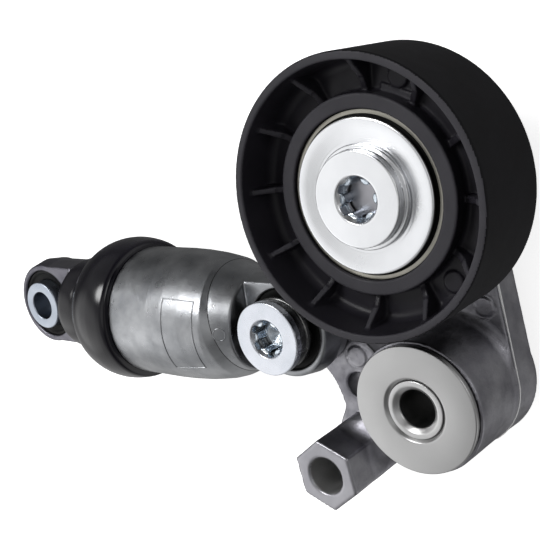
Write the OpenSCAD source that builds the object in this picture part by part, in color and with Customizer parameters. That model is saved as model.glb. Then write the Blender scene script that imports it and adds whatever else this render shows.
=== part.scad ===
// Hydraulic belt tensioner: a cast swing arm with an idler pulley, pushed by a
// sprung oil strut whose far eye bolts to the engine.
// The origin is on the pivot axis, in the plane of the rear mounting face.
// +Z runs along the pivot axis to the front; +Y points from pivot to pulley.

/* [Layout] */
// Distance from the pivot axis to the pulley axis
pulley_y = 58.6; // [56:0.2:64]
// Strut bolt axis, X position
bolt_x = -46.6; // [-50:0.2:-44]
// Strut bolt axis, Y position
bolt_y = 16.6; // [14:0.2:19]
// Height of the strut axis above the mounting face
strut_z = 18; // [17.8:0.1:18.4]
// Distance from the strut bolt axis to the rod eye axis
strut_length = 112.4; // [111:0.1:114]
// Direction of the strut, in degrees round from +X
strut_angle = 178; // [172:1:184]
// Wrench hexagon axis, X position
hex_x = -33; // [-35:0.5:-32]
// Wrench hexagon axis, Y position
hex_y = -24.1; // [-26:0.1:-23]

/* [Pulley and bearing] */
// Outside diameter of the pulley
pulley_d = 70; // [68:0.5:72]
// Width of the belt face
pulley_w = 26; // [24:0.5:27]
// Height of the pulley's middle plane above the mounting face
pulley_mid_z = 35; // [34.8:0.1:35.2]
// Thickness of the rim
rim_t = 2.1; // [1.8:0.1:3]
// Outside diameter of the moulded hub
hub_d = 49.3; // [47:0.1:51]
// Number of gussets on each side of the web
rib_count = 12; // [8:1:18]
// Bearing bore diameter
bearing_bore = 15; // [15:1:15]
// Bearing outside diameter
bearing_od = 42; // [42:1:42]
// Bearing width
bearing_w = 13; // [13:1:13]
// Number of balls
ball_count = 8; // [6:1:9]
// Ball diameter
ball_d = 7.9; // [7:0.1:8]

/* [Arm] */
// Radius of the pivot boss at its front end
boss_r = 18.4; // [18:0.1:19]
// Thickness of the arm plate
plate_t = 10.4; // [9.5:0.1:10.6]
// Across flats of the wrench hexagon
hex_af = 19; // [17:1:19]
// Radius of the locking pin hole
lock_r = 4; // [3:0.5:4.5]

/* [Mounting holes] */
// Bore of the pivot sleeve, for an M10 bolt
pivot_bore_d = 10.5; // [10.2:0.1:11]
// Bore of the rod eye sleeve, for an M10 bolt
eye_bore_d = 10.2; // [10.2:0.1:11]

/* [Strut] */
// Radius of the strut housing
housing_r = 21.2; // [21:0.1:21.6]
// Radius of each eye at its faces
eye_r = 14.6; // [14.4:0.1:15]
// Thickness of each eye
eye_t = 12.8; // [12:0.2:13]
// Number of turns of the return spring
spring_turns = 7; // [5:1:8]

/* [Hidden] */
$fn = 96;
eps = 0.02;

// Radial clearance of the running fits
fit = 0.05;

// Thread radius of both M10 bolts, and their six-lobe sockets
m10_r = 5;
lobe_r = 5.6;
lobe_notch_r = 1.75;
lobe_notch_at = 5.72;
socket_depth = 5.2;
drill_point_h = 1.2;

// Heights in the pivot and arm, from the mounting face
boss_draft = 1.1;
arm_back_z = 0.6;
plate_top_z = arm_back_z + plate_t;
boss_top_z = 30.9;
disc_back_z = 31.5;
disc_front_z = 33;
sleeve_r = 8.1;
bush_t = 1.25;
bush_len = 13;
washer_r = 12.6;
washer_t = 1.5;
disc_r = 17.8;
friction_r = 17;
friction_inner_r = 12;
countersink_r = 6.6;
step_gap = 0.3;
thread_start_z = plate_top_z + 3;

// Heights in the pulley
bearing_front_z = 40.8;
bearing_back_z = bearing_front_z - bearing_w;
bearing_mid_z = (bearing_front_z + bearing_back_z) / 2;
hub_front_z = 41.4;
hub_back_z = 27.2;
web_half_t = 1.4;
rim_edge = 0.4;
rib_t = 1.3;
rib_first = 25;

// Rings of the bearing
race_r = (bearing_bore + bearing_od) / 4;
cage_half_t = 1.2;
cage_half_w = 4.7;
inner_shoulder_r = 11.8;
outer_shoulder_r = 17.3;
groove_r = ball_d / 2 + 0.1;
seal_outer_r = 18.9;
seal_t = 0.8;
seal_inset = 0.3;

// Pressed cap and the flanged pulley bolt that clamps it
cap_t = 0.8;
cap_rise = 0.5;
cap_r = 19.2;
cap_step_r = 14.4;
collar_r = 13;
collar_t = 1.2;
flange_r = 11.9;
flange_t = 2.3;

// Strut bolt, its spacer, and the rubber bush
strut_head_r = 11.1;
strut_head_t = 2.5;
strut_head_z = 33;
spacer_collar_r = 10.8;
spacer_collar_z = 25;
spacer_r = 7;
rubber_r = 12.6;
eye_draft = 1.2;

// Distances along the strut, from the bolt axis to the rod eye
body_start = 13.4;
boot_lip = 60.3;
housing_end = 66;
lip_r = 19.6;
cavity_start = 25;
cavity_r = 17.2;
well_start = 19.5;
cylinder_end = 60;
rod_start = 38;
neck_start = 86;
neck_end = 96.4;
rod_end = neck_end - 2;
spring_start = 28.1;
spring_end = 82.8;
spring_r = 12.4;
wire_r = 1.6;

// Check valve at the foot of the pressure cylinder
valve_len = 5;
valve_seat_r = 3;
valve_port_r = 1.2;

// Radii inside the strut
cylinder_r = 8.5;
bore_r = 6.05;
rod_r = 6;
neck_r = 13.9;
eye_sleeve_r = 8.75;
eye_sleeve_len = 18;

// Arm: locking pin hole, ends of the members with their radii, and the hexagon
lock_pos = [-32.6, -4.6];
lock_wall = 2.6;
web_pos = [-18.7, -14.8];
wall_top = [-31.2, -6];
wall_foot = [-32.2, -20];
pivot_end_r = 18.9;
pulley_end_r = 12.2;
strut_end_r = 9;
tie_end_r = 10;
foot_end_r = 8.6;
wall_foot_r = 6.8;
wall_top_r = 5.8;
hex_turn = -22.4;
hex_hole_r = 5.7;
hex_hole_z = 9;
hex_wall_r = 0.62 * hex_af;
rib_top_z = 19;
rib_end_r = 0.45 * hex_af;
pulley_boss_r = 12;
web_fillet = 7;

// Pocket in the back of the plate
pocket_depth = 5.4;
pocket_wall = 3.4;
pocket_rib_t = 3;
pocket_rib_angle = 160.4;

// Tube or ring from z0 to z1
module ring(r_out, r_in, z0, z1) {
  translate([0, 0, z0]) difference() {
    cylinder(r = r_out, h = z1 - z0);
    translate([0, 0, -1]) cylinder(r = r_in, h = z1 - z0 + 2);
  }
}

// Solid disc from z0 to z1
module rod(r, z0, z1) {
  translate([0, 0, z0]) cylinder(r = r, h = z1 - z0);
}

// Disc with a chamfered front edge
module chamfered_rod(r, z0, z1, c) {
  rod(r, z0, z1 - c);
  translate([0, 0, z1 - c]) cylinder(r1 = r, r2 = r - c, h = c);
}

// Six-lobe driver socket with a drilled point, sunk from z = 0 downwards
module socket() {
  translate([0, 0, -socket_depth]) linear_extrude(height = socket_depth + 1) difference() {
    circle(r = lobe_r);
    for (a = [0 : 60 : 300]) rotate(a) translate([lobe_notch_at, 0]) circle(r = lobe_notch_r);
  }
  translate([0, 0, -socket_depth - drill_point_h]) cylinder(r1 = 0.6, r2 = 3.6, h = drill_point_h + eps);
}

module at_pulley() {
  translate([0, pulley_y, 0]) children();
}

module at_bolt() {
  translate([bolt_x, bolt_y, 0]) children();
}

// Strut frame: X runs from the bolt axis to the rod eye, Z stays up
module strut_frame() {
  translate([bolt_x, bolt_y, strut_z]) rotate([0, 0, strut_angle]) children();
}

// Solid of revolution about the strut axis; the profile is [radius, distance]
module lathe(profile) {
  rotate([0, 90, 0]) rotate_extrude() polygon(profile);
}

// Tube about the strut axis from s0 to s1
module strut_tube(r_out, r_in, s0, s1) {
  rotate([0, 90, 0]) ring(r_out, r_in, s0, s1);
}

// Eye with draft on both sides of the parting plane
module eye_blank() {
  for (side = [0, 1]) mirror([0, 0, side]) cylinder(r1 = eye_r + eye_draft, r2 = eye_r, h = eye_t / 2);
}

// Flat tongue with the same draft, from s0 to s1
module tongue(s0, s1) {
  half = eye_r - 0.4;
  mid = half + eye_draft;
  translate([s0, 0, 0]) rotate([90, 0, 90]) linear_extrude(height = s1 - s0)
    polygon([
      [-half, -eye_t / 2], [half, -eye_t / 2], [mid, 0],
      [half, eye_t / 2], [-half, eye_t / 2], [-mid, 0]
    ]);
}

// ---- Pivot, bolted to the engine

module pivot_sleeve() {
  color("silver") difference() {
    rod(sleeve_r, 0, disc_front_z - 0.4);
    rod(pivot_bore_d / 2, -1, disc_front_z + 1);
    translate([0, 0, disc_front_z - 1.4])
      cylinder(r1 = pivot_bore_d / 2, r2 = countersink_r, h = 1 + eps);
  }
}

module thrust_disc() {
  color("gainsboro") difference() {
    chamfered_rod(disc_r, disc_back_z, disc_front_z, 0.4);
    rod(sleeve_r, disc_back_z - 1, disc_front_z + 1);
    translate([0, 0, disc_front_z - 0.9]) cylinder(r1 = sleeve_r, r2 = sleeve_r + 0.95, h = 0.95);
  }
}

module rear_washer() {
  color("silver") ring(washer_r, sleeve_r, 0, washer_t);
}

// ---- Swing arm

// Straight member between two round ends, with sides tangent to both
module member(p, pr, q, qr) {
  run = norm(q - p);
  heading = atan2(q[1] - p[1], q[0] - p[0]);
  lean = acos((pr - qr) / run);
  translate(p) circle(r = pr);
  translate(q) circle(r = qr);
  polygon([
    for (c = [[p, pr, lean], [q, qr, lean], [q, qr, -lean], [p, pr, -lean]])
      c[0] + c[1] * [cos(heading + c[2]), sin(heading + c[2])]
  ]);
}

module arm_outline() {
  offset(r = -web_fillet, $fn = 64) offset(delta = web_fillet) {
    member([0, 0], pivot_end_r, [0, pulley_y], pulley_end_r);
    member([bolt_x, bolt_y], strut_end_r, web_pos, strut_end_r);
    member([bolt_x, bolt_y], strut_end_r, [0, pulley_y], tie_end_r);
    member([hex_x, hex_y], strut_end_r, [0, 0], foot_end_r);
    member(wall_foot, wall_foot_r, wall_top, wall_top_r);
  }
}

// Shallow pocket in the back of the plate, left of and above the pivot
module back_pocket() {
  difference() {
    offset(delta = -pocket_wall) arm_outline();
    circle(r = boss_r);
    translate([bolt_x, bolt_y]) circle(r = 2 * m10_r);
    translate([0, pulley_y]) circle(r = pulley_boss_r);
    translate([hex_x, hex_y]) circle(r = hex_wall_r);
    translate(lock_pos) circle(r = lock_r + lock_wall);
    translate([-pocket_rib_t / 2, 0]) square([pocket_rib_t, pulley_y]);
    rotate(pocket_rib_angle) translate([0, -pocket_rib_t / 2]) square([50, pocket_rib_t]);
  }
}

module tensioner_arm() {
  color("darkgray") difference() {
    union() {
      translate([0, 0, arm_back_z]) linear_extrude(height = plate_t) arm_outline();
      translate([0, 0, arm_back_z])
        cylinder(r1 = boss_r + boss_draft, r2 = boss_r, h = boss_top_z - arm_back_z);
      translate([hex_x, hex_y, arm_back_z]) rotate([0, 0, hex_turn])
        cylinder(r = hex_af / sqrt(3), h = disc_front_z - arm_back_z, $fn = 6);
      at_pulley() rod(pulley_boss_r, arm_back_z, bearing_back_z);
      at_pulley() rod(bearing_bore / 2, arm_back_z, bearing_front_z - 0.6);
      hull() {
        translate([hex_x, hex_y, 0]) rod(rib_end_r, arm_back_z, rib_top_z);
        rod(rib_end_r, arm_back_z, rib_top_z);
      }
    }
    translate([0, 0, arm_back_z - 1]) linear_extrude(height = pocket_depth + 1) back_pocket();
    rod(sleeve_r + fit + bush_t, -1, boss_top_z + 1);
    rod(washer_r + step_gap, -1, washer_t + 0.1);
    at_pulley() rod(m10_r, thread_start_z - 1, bearing_front_z);
    at_bolt() rod(m10_r, -1, plate_top_z + 1);
    translate([hex_x, hex_y, 0]) rod(hex_hole_r, hex_hole_z, disc_front_z + 1);
    translate([lock_pos[0], lock_pos[1], 0]) rod(lock_r, -1, plate_top_z + 1);
  }
}

// Two plain bushes pressed into the arm, one at each end of the bore
module pivot_bushes() {
  color("dimgray") {
    ring(sleeve_r + fit + bush_t, sleeve_r + fit, washer_t + step_gap, washer_t + step_gap + bush_len);
    ring(sleeve_r + fit + bush_t, sleeve_r + fit, boss_top_z - bush_len, boss_top_z);
  }
}

module friction_ring() {
  color("black") ring(friction_r, friction_inner_r, boss_top_z, disc_back_z - fit);
}

// ---- Pulley fixings

module pulley_bolt() {
  base = bearing_front_z + cap_t;
  color("silver") at_pulley() difference() {
    union() {
      rod(m10_r, thread_start_z, base);
      chamfered_rod(collar_r, base, base + collar_t, 0.4);
      chamfered_rod(flange_r, base + collar_t, base + collar_t + flange_t, 0.3);
    }
    translate([0, 0, base + collar_t + flange_t]) socket();
  }
}

// Pressed steel cap, dished at its middle where the bolt clamps it
module dust_cap() {
  color("whitesmoke") at_pulley() translate([0, 0, bearing_front_z]) rotate_extrude() polygon([
    [m10_r + 0.1, 0],
    [cap_step_r - 0.6, 0],
    [cap_step_r, cap_rise],
    [cap_r - 0.5, cap_rise],
    [cap_r, cap_rise + 0.3],
    [cap_r, cap_rise + cap_t - 0.2],
    [cap_r - 0.3, cap_rise + cap_t],
    [cap_step_r - 0.6, cap_rise + cap_t],
    [cap_step_r - 1.2, cap_t],
    [m10_r + 0.1, cap_t]
  ]);
}

module bearing_inner_ring() {
  color("tan") at_pulley() difference() {
    ring(inner_shoulder_r, bearing_bore / 2, bearing_back_z, bearing_front_z);
    translate([0, 0, bearing_mid_z]) rotate_extrude() translate([race_r, 0]) circle(r = groove_r);
  }
}

module strut_bolt() {
  color("silver") at_bolt() difference() {
    union() {
      rod(m10_r, arm_back_z + 0.4, strut_head_z - strut_head_t);
      chamfered_rod(strut_head_r, strut_head_z - strut_head_t, strut_head_z, 0.3);
    }
    translate([0, 0, strut_head_z]) socket();
  }
}

// Stepped steel spacer: the strut's eye turns on its long end
module strut_spacer() {
  color("silver") at_bolt() {
    ring(spacer_r, m10_r, plate_top_z, spacer_collar_z + eps);
    ring(spacer_collar_r, m10_r, spacer_collar_z, strut_head_z - strut_head_t);
  }
}

// ---- Idler pulley and its bearing

module pulley_rib(a) {
  rotate(a) translate([0, rib_t / 2, 0]) rotate([90, 0, 0]) linear_extrude(height = rib_t) polygon([
    [hub_d / 2 - 0.5, 0],
    [hub_d / 2 - 0.5, 3.4],
    [28, 3.8],
    [pulley_d / 2 - rim_t + 0.5, 10],
    [pulley_d / 2 - rim_t + 0.5, 0]
  ]);
}

module pulley() {
  rim_r = pulley_d / 2;
  color([0.11, 0.11, 0.12]) at_pulley() {
    translate([0, 0, pulley_mid_z]) rotate_extrude() polygon([
      [rim_r - rim_t, web_half_t],
      [rim_r - rim_t, pulley_w / 2 - 0.5],
      [rim_r - rim_t + 0.5, pulley_w / 2],
      [rim_r - rim_edge, pulley_w / 2],
      [rim_r, pulley_w / 2 - rim_edge],
      [rim_r, rim_edge - pulley_w / 2],
      [rim_r - rim_edge, -pulley_w / 2],
      [rim_r - rim_t + 0.5, -pulley_w / 2],
      [rim_r - rim_t, 0.5 - pulley_w / 2],
      [rim_r - rim_t, -web_half_t],
      [hub_d / 2, -web_half_t],
      [hub_d / 2, hub_back_z - pulley_mid_z],
      [bearing_od / 2, hub_back_z - pulley_mid_z],
      [bearing_od / 2, hub_front_z - pulley_mid_z],
      [hub_d / 2 - 0.4, hub_front_z - pulley_mid_z],
      [hub_d / 2, hub_front_z - pulley_mid_z - 0.4],
      [hub_d / 2, web_half_t]
    ]);
    for (i = [0 : rib_count - 1]) {
      a = rib_first + i * 360 / rib_count;
      translate([0, 0, pulley_mid_z + web_half_t - 0.2]) pulley_rib(a);
      translate([0, 0, pulley_mid_z - web_half_t + 0.2]) mirror([0, 0, 1]) pulley_rib(a);
    }
  }
}

module bearing_outer_ring() {
  color("tan") at_pulley() difference() {
    rotate_extrude() polygon([
      [outer_shoulder_r, bearing_back_z],
      [bearing_od / 2 - 0.4, bearing_back_z],
      [bearing_od / 2, bearing_back_z + 0.4],
      [bearing_od / 2, bearing_front_z - 0.4],
      [bearing_od / 2 - 0.4, bearing_front_z],
      [outer_shoulder_r, bearing_front_z]
    ]);
    translate([0, 0, bearing_mid_z]) rotate_extrude() translate([race_r, 0]) circle(r = groove_r);
    rod(seal_outer_r, bearing_front_z - seal_t - seal_inset, bearing_front_z + 1);
    rod(seal_outer_r, bearing_back_z - 1, bearing_back_z + seal_t + seal_inset);
  }
}

module bearing_seals() {
  front = bearing_front_z - seal_inset;
  back = bearing_back_z + seal_inset;
  color("black") at_pulley() {
    ring(seal_outer_r, inner_shoulder_r + 0.1, front - seal_t, front);
    ring(seal_outer_r, inner_shoulder_r + 0.1, back, back + seal_t);
  }
}

module at_balls() {
  translate([0, pulley_y, bearing_mid_z])
    for (i = [0 : ball_count - 1]) rotate(i * 360 / ball_count) translate([race_r, 0, 0]) children();
}

module ball_cage() {
  color("peru") difference() {
    at_pulley() ring(
      race_r + cage_half_t, race_r - cage_half_t,
      bearing_mid_z - cage_half_w, bearing_mid_z + cage_half_w
    );
    at_balls() rotate([0, 90, 0]) cylinder(d = ball_d + 0.2, h = 5 * cage_half_t, center = true);
  }
}

module bearing_balls() {
  color("white") at_balls() sphere(d = ball_d);
}

// ---- Strut housing and what is fixed in it

module strut_housing() {
  color("lightgray") strut_frame() difference() {
    union() {
      lathe([
        [0, body_start],
        [12.6, body_start],
        [14.6, body_start + 0.9],
        [16.2, 16.3],
        [17.3, 18],
        [18.2, 20],
        [19.1, 23],
        [19.8, 27],
        [20.4, 31],
        [21, 38],
        [housing_r, 44],
        [housing_r, boot_lip],
        [lip_r, boot_lip],
        [lip_r, housing_end],
        [0, housing_end]
      ]);
      eye_blank();
      tongue(0, body_start + 2);
    }
    strut_tube(cavity_r, 0, cavity_start, housing_end + 1);
    strut_tube(cylinder_r, 0, well_start, cavity_start + 1);
    cylinder(r = rubber_r, h = eye_t + 2, center = true);
  }
}

// Rubber bush between an eye and its steel inner part
module rubber_bush(inner_r) {
  color("black") rotate_extrude() polygon([
    [inner_r, -4.4],
    [inner_r, 4.4],
    [rubber_r - 1, 5.6],
    [rubber_r, 5.6],
    [rubber_r, -5.6],
    [rubber_r - 1, -5.6]
  ]);
}

module housing_bush() {
  strut_frame() rubber_bush(spacer_r + fit);
}

module pressure_cylinder() {
  color("slategray") strut_frame() strut_tube(cylinder_r, bore_r, well_start, cylinder_end);
}

module check_valve() {
  color("silver") strut_frame() difference() {
    strut_tube(bore_r, valve_port_r, well_start, well_start + valve_len);
    rotate([0, 90, 0]) rod(valve_seat_r, well_start + valve_len / 2, well_start + valve_len + 1);
  }
}

module rear_spring_seat() {
  color("silver") strut_frame()
    strut_tube(cavity_r - 0.2, cylinder_r + 0.1, cavity_start, spring_start - wire_r);
}

// Helical spring with closed ends
function coil_at(t) = spring_start + (spring_end - spring_start) * (t < 0.1 ? t * 0.5
  : t > 0.9 ? 1 - (1 - t) * 0.5 : 0.05 + (t - 0.1) * 1.125);
function coil_point(t, b) =
  let(a = 360 * spring_turns * t, r = spring_r + wire_r * cos(b))
  [coil_at(t) + wire_r * sin(b), r * cos(a), r * sin(a)];

module return_spring() {
  sides = 8;
  steps = spring_turns * 18;
  points = [for (i = [0 : steps]) for (k = [0 : sides - 1]) coil_point(i / steps, 360 * k / sides)];
  walls = [
    for (i = [0 : steps - 1]) for (k = [0 : sides - 1])
      let(a = i * sides + k, b = i * sides + (k + 1) % sides)
      [a, b, b + sides, a + sides]
  ];
  start_cap = [[for (k = [sides - 1 : -1 : 0]) k]];
  end_cap = [[for (k = [0 : sides - 1]) steps * sides + k]];
  color("gray") strut_frame() polyhedron(points, concat(walls, start_cap, end_cap));
}

// Rubber boot from the housing's lip groove to the rod eye's neck
module boot() {
  color([0.09, 0.08, 0.1]) strut_frame() lathe([
    [21.9, boot_lip],
    [23.2, boot_lip + 1.2],
    [24.3, 65],
    [24.6, 69],
    [24.1, 74],
    [22.2, 79],
    [19.4, 82.6],
    [16.8, 84.6],
    [16, 86],
    [16, 94],
    [15.4, 95],
    [neck_r + 0.1, 95],
    [neck_r + 0.1, neck_start + 1],
    [15.2, neck_start - 0.6],
    [17.8, 81.4],
    [20.6, 77.8],
    [22.4, 73.2],
    [22.8, 69],
    [22.4, housing_end + 0.6],
    [lip_r, housing_end + 0.6],
    [lip_r, boot_lip]
  ]);
}

// ---- Rod and rod eye

module piston_rod() {
  color("silver") strut_frame() rotate([0, 90, 0]) rod(rod_r, rod_start, rod_end);
}

module rod_eye() {
  color("darkgray") strut_frame() difference() {
    union() {
      rotate([0, 90, 0]) rod(neck_r, neck_start, neck_end);
      tongue(neck_end - 0.4, strut_length);
      translate([strut_length, 0, 0]) eye_blank();
    }
    rotate([0, 90, 0]) rod(rod_r, neck_start - 1, rod_end);
    translate([strut_length, 0, 0]) cylinder(r = rubber_r, h = eye_t + 2, center = true);
  }
}

module front_spring_seat() {
  color("silver") strut_frame() strut_tube(spring_r + wire_r, rod_r, spring_end + wire_r, neck_start);
}

module rod_eye_bush() {
  strut_frame() translate([strut_length, 0, 0]) rubber_bush(eye_sleeve_r + fit);
}

module eye_sleeve() {
  color("white") strut_frame() translate([strut_length, 0, 0])
    ring(eye_sleeve_r, eye_bore_d / 2, -eye_sleeve_len / 2, eye_sleeve_len / 2);
}

pivot_sleeve();
thrust_disc();
rear_washer();
tensioner_arm();
pivot_bushes();
friction_ring();
pulley_bolt();
dust_cap();
bearing_inner_ring();
strut_bolt();
strut_spacer();
pulley();
bearing_outer_ring();
bearing_seals();
ball_cage();
bearing_balls();
strut_housing();
housing_bush();
pressure_cylinder();
check_valve();
rear_spring_seat();
return_spring();
boot();
piston_rod();
rod_eye();
front_spring_seat();
rod_eye_bush();
eye_sleeve();
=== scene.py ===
import bpy
import math
import numpy as np
from mathutils import Matrix, Vector


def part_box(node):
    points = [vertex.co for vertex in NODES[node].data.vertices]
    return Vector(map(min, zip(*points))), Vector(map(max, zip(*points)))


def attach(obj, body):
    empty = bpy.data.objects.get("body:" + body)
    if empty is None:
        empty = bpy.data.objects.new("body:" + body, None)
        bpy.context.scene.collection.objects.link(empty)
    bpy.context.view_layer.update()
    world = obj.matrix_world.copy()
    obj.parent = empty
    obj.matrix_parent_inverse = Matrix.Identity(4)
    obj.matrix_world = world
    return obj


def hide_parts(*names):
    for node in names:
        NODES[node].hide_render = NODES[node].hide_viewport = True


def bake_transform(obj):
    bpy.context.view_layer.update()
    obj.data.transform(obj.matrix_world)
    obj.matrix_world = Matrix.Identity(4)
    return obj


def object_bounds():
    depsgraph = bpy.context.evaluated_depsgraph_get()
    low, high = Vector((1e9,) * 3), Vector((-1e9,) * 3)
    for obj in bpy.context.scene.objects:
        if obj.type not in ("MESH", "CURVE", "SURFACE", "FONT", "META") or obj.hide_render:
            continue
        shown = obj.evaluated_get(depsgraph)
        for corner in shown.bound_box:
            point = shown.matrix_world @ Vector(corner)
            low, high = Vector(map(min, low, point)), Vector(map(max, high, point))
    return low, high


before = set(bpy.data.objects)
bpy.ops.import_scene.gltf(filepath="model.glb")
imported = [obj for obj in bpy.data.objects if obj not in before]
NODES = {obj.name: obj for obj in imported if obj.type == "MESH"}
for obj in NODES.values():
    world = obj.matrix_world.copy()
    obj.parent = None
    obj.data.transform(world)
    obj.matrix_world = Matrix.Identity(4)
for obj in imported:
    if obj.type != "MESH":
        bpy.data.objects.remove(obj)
cad_low, cad_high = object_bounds()

# All lengths below are in millimetres and become metres when a mesh is made.
MM = 0.001

# ---------------------------------------------------------------- places in the frame


def node_box(node):
    """Lowest and highest corner of a CAD node, in millimetres."""
    low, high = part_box(node)
    return np.array(low) / MM, np.array(high) / MM


def middle(node):
    low, high = node_box(node)
    return (low + high) / 2


PULLEY = middle("pulley")
BOLT = middle("strut_bolt")
EYE = middle("eye_sleeve")
BOLT[2] = EYE[2]
ALONG = (EYE - BOLT) / np.linalg.norm(EYE - BOLT)
ACROSS = np.array([-ALONG[1], ALONG[0], 0.0])
STRUT_LENGTH = float(np.linalg.norm(EYE - BOLT))
WORLD = Matrix.Identity(4)


def upright(x, y, z=0.0):
    """Local frame at the point, with its axes along the object's axes."""
    return Matrix.Translation((x, y, z))


PIVOT_FRAME = upright(0, 0)
PULLEY_FRAME = upright(PULLEY[0], PULLEY[1])
BOLT_FRAME = upright(BOLT[0], BOLT[1])
EYE_FRAME = upright(EYE[0], EYE[1], EYE[2])
# Strut frame: X from the bolt to the rod eye, Y across, Z up
STRUT_FRAME = Matrix(
    [
        [ALONG[0], ACROSS[0], 0, BOLT[0]],
        [ALONG[1], ACROSS[1], 0, BOLT[1]],
        [0, 0, 1, BOLT[2]],
        [0, 0, 0, 1],
    ]
)
# Lathe frame of the strut: Z along the strut
STRUT_LATHE = STRUT_FRAME @ Matrix(
    [[0, 0, 1, 0], [0, 1, 0, 0], [-1, 0, 0, 0], [0, 0, 0, 1]]
)

# ---------------------------------------------------------------- mesh building


def make_object(name, verts, faces, place=WORLD, sharp=None):
    """A mesh object from points in millimetres and faces, in a local frame."""
    mesh = bpy.data.meshes.new(name)
    verts = np.asarray(verts, float)
    m = np.array(place, float)
    world = (verts @ m[:3, :3].T + m[:3, 3]) * MM
    if isinstance(faces, np.ndarray):
        count, sides = faces.shape
        mesh.vertices.add(len(world))
        mesh.vertices.foreach_set("co", world.astype(np.float32).ravel())
        mesh.loops.add(count * sides)
        mesh.loops.foreach_set("vertex_index", faces.astype(np.int32).ravel())
        mesh.polygons.add(count)
        mesh.polygons.foreach_set("loop_start", np.arange(0, count * sides, sides, dtype=np.int32))
        mesh.update(calc_edges=True)
    else:
        mesh.from_pydata([tuple(v) for v in world], [], faces)
        mesh.update()
    mesh.validate()
    mesh.shade_smooth()
    if sharp is not None:
        mesh.set_sharp_from_angle(angle=math.radians(sharp))
    obj = bpy.data.objects.new(name, mesh)
    bpy.context.scene.collection.objects.link(obj)
    return obj


def rounded(points, radius, steps=4):
    """Closed profile with its corners rounded; radius is one number or one per point."""
    n = len(points)
    radii = radius if isinstance(radius, (list, tuple)) else [radius] * n
    out = []
    for i in range(n):
        p = np.array(points[i], float)
        a = np.array(points[i - 1], float) - p
        b = np.array(points[(i + 1) % n], float) - p
        la, lb = np.linalg.norm(a), np.linalg.norm(b)
        t = min(radii[i], 0.45 * la, 0.45 * lb)
        if t < 0.02 or p[0] < 1e-6:
            out.append(p)
            continue
        start, end = p + a / la * t, p + b / lb * t
        for k in range(steps + 1):
            w = k / steps
            out.append((1 - w) ** 2 * start + 2 * w * (1 - w) * p + w * w * end)
    return np.array(out)


def smooth_line(points, per=8):
    """Catmull-Rom line through the points."""
    p = [np.array(q, float) for q in points]
    p = [2 * p[0] - p[1]] + p + [2 * p[-1] - p[-2]]
    out = []
    for i in range(1, len(p) - 2):
        for k in range(per):
            t = k / per
            out.append(
                0.5
                * (
                    2 * p[i]
                    + (p[i + 1] - p[i - 1]) * t
                    + (2 * p[i - 1] - 5 * p[i] + 4 * p[i + 1] - p[i + 2]) * t * t
                    + (3 * p[i] - p[i - 1] - 3 * p[i + 1] + p[i + 2]) * t**3
                )
            )
    out.append(p[-2])
    return out


def lathe(name, profile, place, turns=192, sharp=28):
    """Solid of revolution of a closed profile of (radius, height) points."""
    profile = np.asarray(profile, float)
    area = 0.5 * np.sum(
        profile[:, 0] * np.roll(profile[:, 1], -1) - np.roll(profile[:, 0], -1) * profile[:, 1]
    )
    if area < 0:
        profile = profile[::-1]
    verts, index = [], []
    for r, h in profile:
        if r < 1e-6:
            index.append([len(verts)] * turns)
            verts.append((0, 0, h))
            continue
        index.append(list(range(len(verts), len(verts) + turns)))
        for k in range(turns):
            a = 2 * math.pi * k / turns
            verts.append((r * math.cos(a), r * math.sin(a), h))
    faces = []
    n = len(profile)
    for i in range(n):
        a, b = index[i], index[(i + 1) % n]
        if a[0] == a[1] and b[0] == b[1]:
            continue
        for k in range(turns):
            j = (k + 1) % turns
            quad = [a[k], a[j], b[j], b[k]]
            if a[0] == a[1]:
                quad = [a[k], b[j], b[k]]
            elif b[0] == b[1]:
                quad = [a[k], a[j], b[k]]
            faces.append(quad)
    return make_object(name, verts, faces, place, sharp)


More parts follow.
